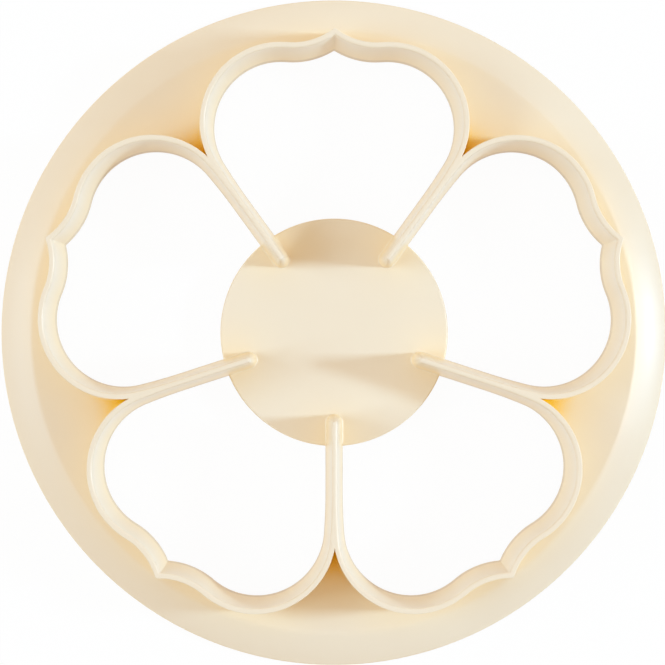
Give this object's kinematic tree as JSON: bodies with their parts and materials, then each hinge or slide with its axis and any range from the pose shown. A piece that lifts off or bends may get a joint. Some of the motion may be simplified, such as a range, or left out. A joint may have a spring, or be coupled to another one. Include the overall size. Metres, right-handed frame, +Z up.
{
  "type": "petal cutter",
  "caption": "One-piece cream plastic blossom cutter: petal-shaped cutting walls on a round flange with a sloped rim, joined by radial blades to a central disc.",
  "frame": {"origin": "centre of the rest plane, under the middle of the hub disc", "axes": "+Z up, from the foot of the rim to the cutting edges; +Y through the point of the first petal"},
  "size_m": [0.1146, 0.1146, 0.015],
  "materials": {
    "cream_plastic": "moulded cream plastic with a soft gloss, slightly translucent at thin edges"
  },
  "bodies": {
    "root": {"flange_plate": "cream_plastic", "rim_skirt": "cream_plastic", "hub_disc": "cream_plastic", "petal_blade_1": "cream_plastic", "petal_blade_2": "cream_plastic", "petal_blade_3": "cream_plastic", "petal_blade_4": "cream_plastic", "petal_blade_5": "cream_plastic", "spoke_blade_1": "cream_plastic", "spoke_blade_2": "cream_plastic", "spoke_blade_3": "cream_plastic", "spoke_blade_4": "cream_plastic", "spoke_blade_5": "cream_plastic"}
  },
  "joints": []
}
